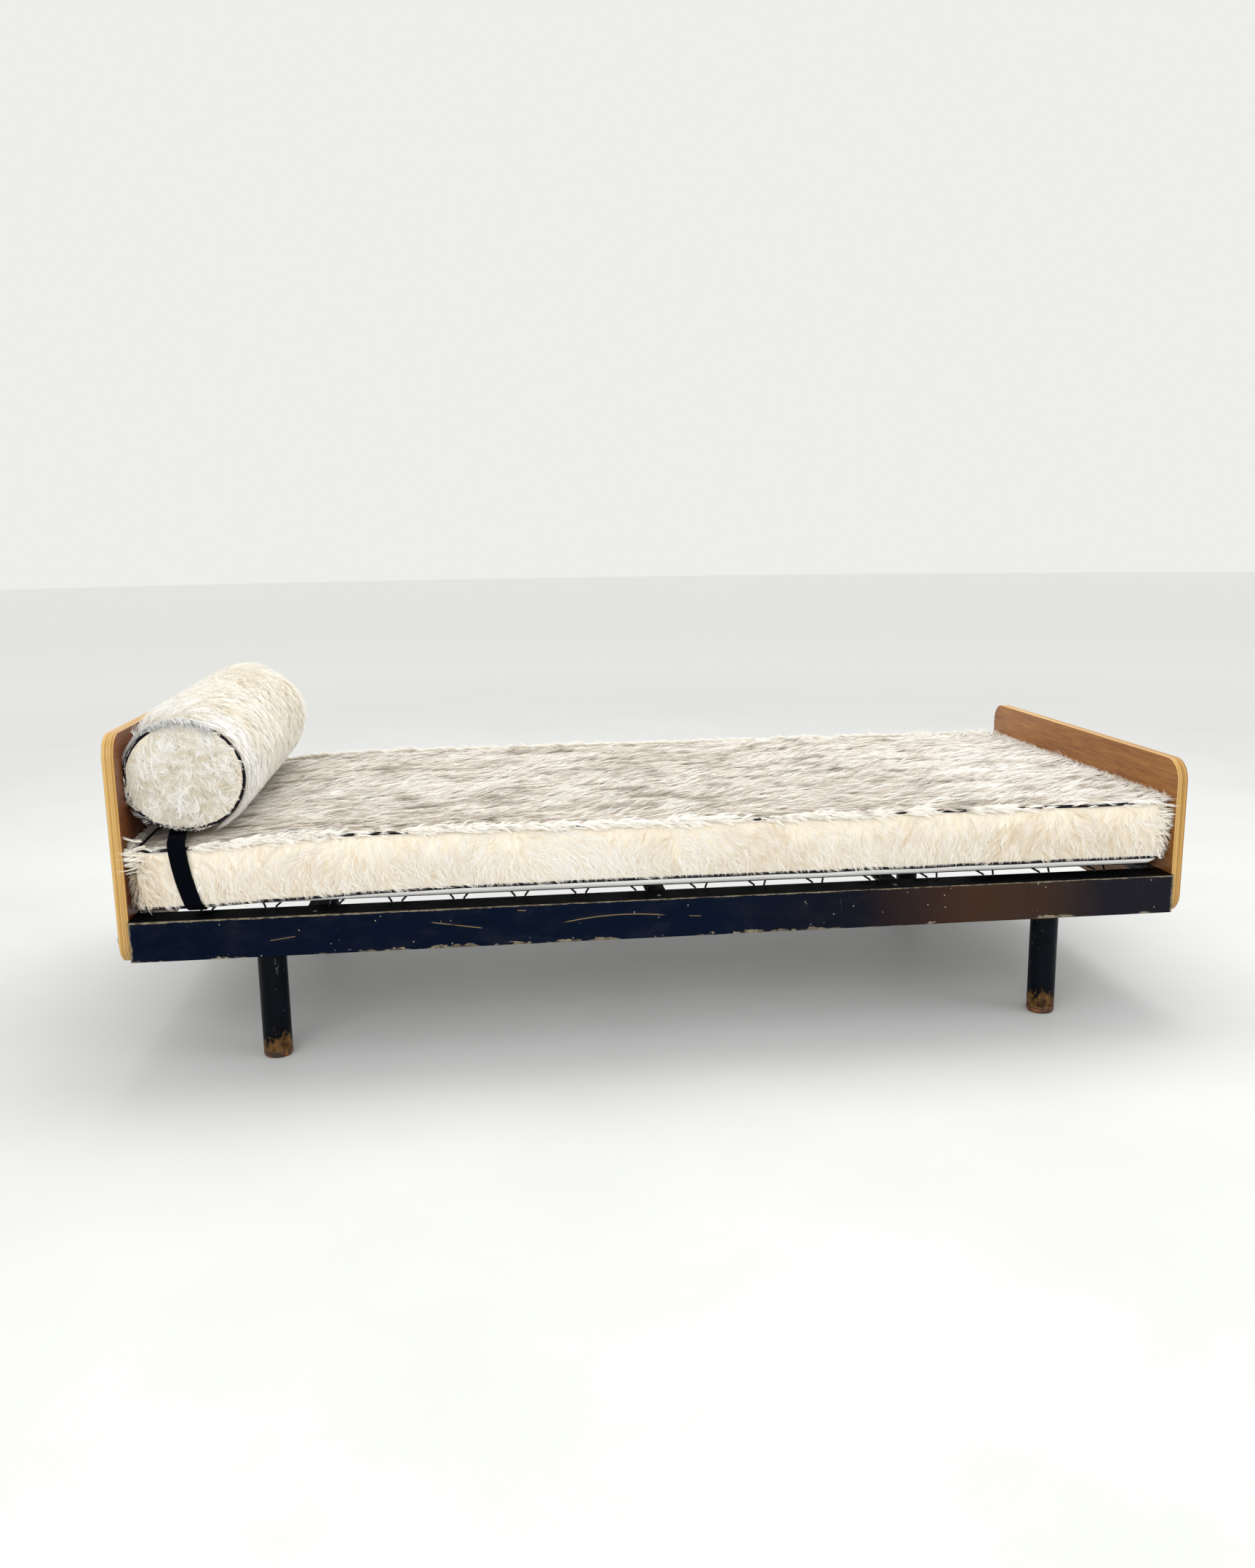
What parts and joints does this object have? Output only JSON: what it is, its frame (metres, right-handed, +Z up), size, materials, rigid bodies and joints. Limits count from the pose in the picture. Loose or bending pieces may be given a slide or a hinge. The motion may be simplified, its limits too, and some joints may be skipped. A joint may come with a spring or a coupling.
{
  "type": "daybed",
  "caption": "Low daybed: blue-black sheet-steel rails between plywood end boards of two heights, tube legs, long-haired hide mattress and a strapped round bolster.",
  "frame": {"origin": "on the floor under the middle of the bed's outline", "axes": "+X along the bed from the head board to the foot board, +Y to the back side, +Z up"},
  "size_m": [1.911, 0.856, 0.6123],
  "materials": {
    "plywood": "varnished plywood, honey plies at the edges, warm brown face veneer",
    "foot_wood": "worn dark turned wood",
    "leg_paint": "worn blue-black paint",
    "rail_paint": "satin midnight-blue paint, chipped along the edges",
    "frame_paint": "black paint",
    "black_wire": "black lacquered wire",
    "zinc_fixings": "dull plated steel",
    "hide_mattress": "long-haired hide, cream with grey-brown flecks",
    "hide_bolster": "long-haired cream hide",
    "piping": "black piping cord",
    "webbing": "navy-black webbing",
    "filling": "foam and fibre filling"
  },
  "bodies": {
    "bedstead": {"back_hooks": "black_wire", "back_rail": "rail_paint", "cross_bar_foot": "frame_paint", "cross_bar_head": "frame_paint", "cross_bar_middle": "frame_paint", "cross_bar_rivets": "zinc_fixings", "end_plate_back_foot": "frame_paint", "end_plate_back_head": "frame_paint", "end_plate_front_foot": "frame_paint", "end_plate_front_head": "frame_paint", "foot_board_bolts": "zinc_fixings", "foot_board_nuts": "zinc_fixings", "foot_board_washers": "zinc_fixings", "foot_cross_rail": "frame_paint", "foot_hooks": "black_wire", "foot_panel": "plywood", "foot_plug_back_foot": "foot_wood", "foot_plug_back_head": "foot_wood", "foot_plug_front_foot": "foot_wood", "foot_plug_front_head": "foot_wood", "front_hooks": "black_wire", "front_rail": "rail_paint", "head_board_bolts": "zinc_fixings", "head_board_nuts": "zinc_fixings", "head_board_washers": "zinc_fixings", "head_cross_rail": "frame_paint", "head_hooks": "black_wire", "head_panel": "plywood", "leg_back_foot": "leg_paint", "leg_back_head": "leg_paint", "leg_front_foot": "leg_paint", "leg_front_head": "leg_paint", "leg_nuts": "zinc_fixings", "leg_plate_back_foot": "frame_paint", "leg_plate_back_head": "frame_paint", "leg_plate_front_foot": "frame_paint", "leg_plate_front_head": "frame_paint", "leg_studs": "zinc_fixings", "net_cross_wires": "black_wire", "net_edge_wires": "black_wire", "net_long_wires": "black_wire"},
    "mattress": {"mattress_core": "filling", "mattress_cover": "hide_mattress", "mattress_piping_bottom": "piping", "mattress_piping_top": "piping"},
    "bolster": {"bolster_core": "filling", "bolster_cover": "hide_bolster", "bolster_piping_back": "piping", "bolster_piping_front": "piping", "bolster_strap": "webbing"}
  },
  "joints": [
    {"name": "mattress_lift", "type": "slide", "parent": "bedstead", "child": "mattress", "axis": [0, 0, 1], "range_m": [0, 0.35]},
    {"name": "bolster_slide", "type": "slide", "parent": "mattress", "child": "bolster", "axis": [1, 0, 0], "range_m": [0, 1.66]}
  ]
}
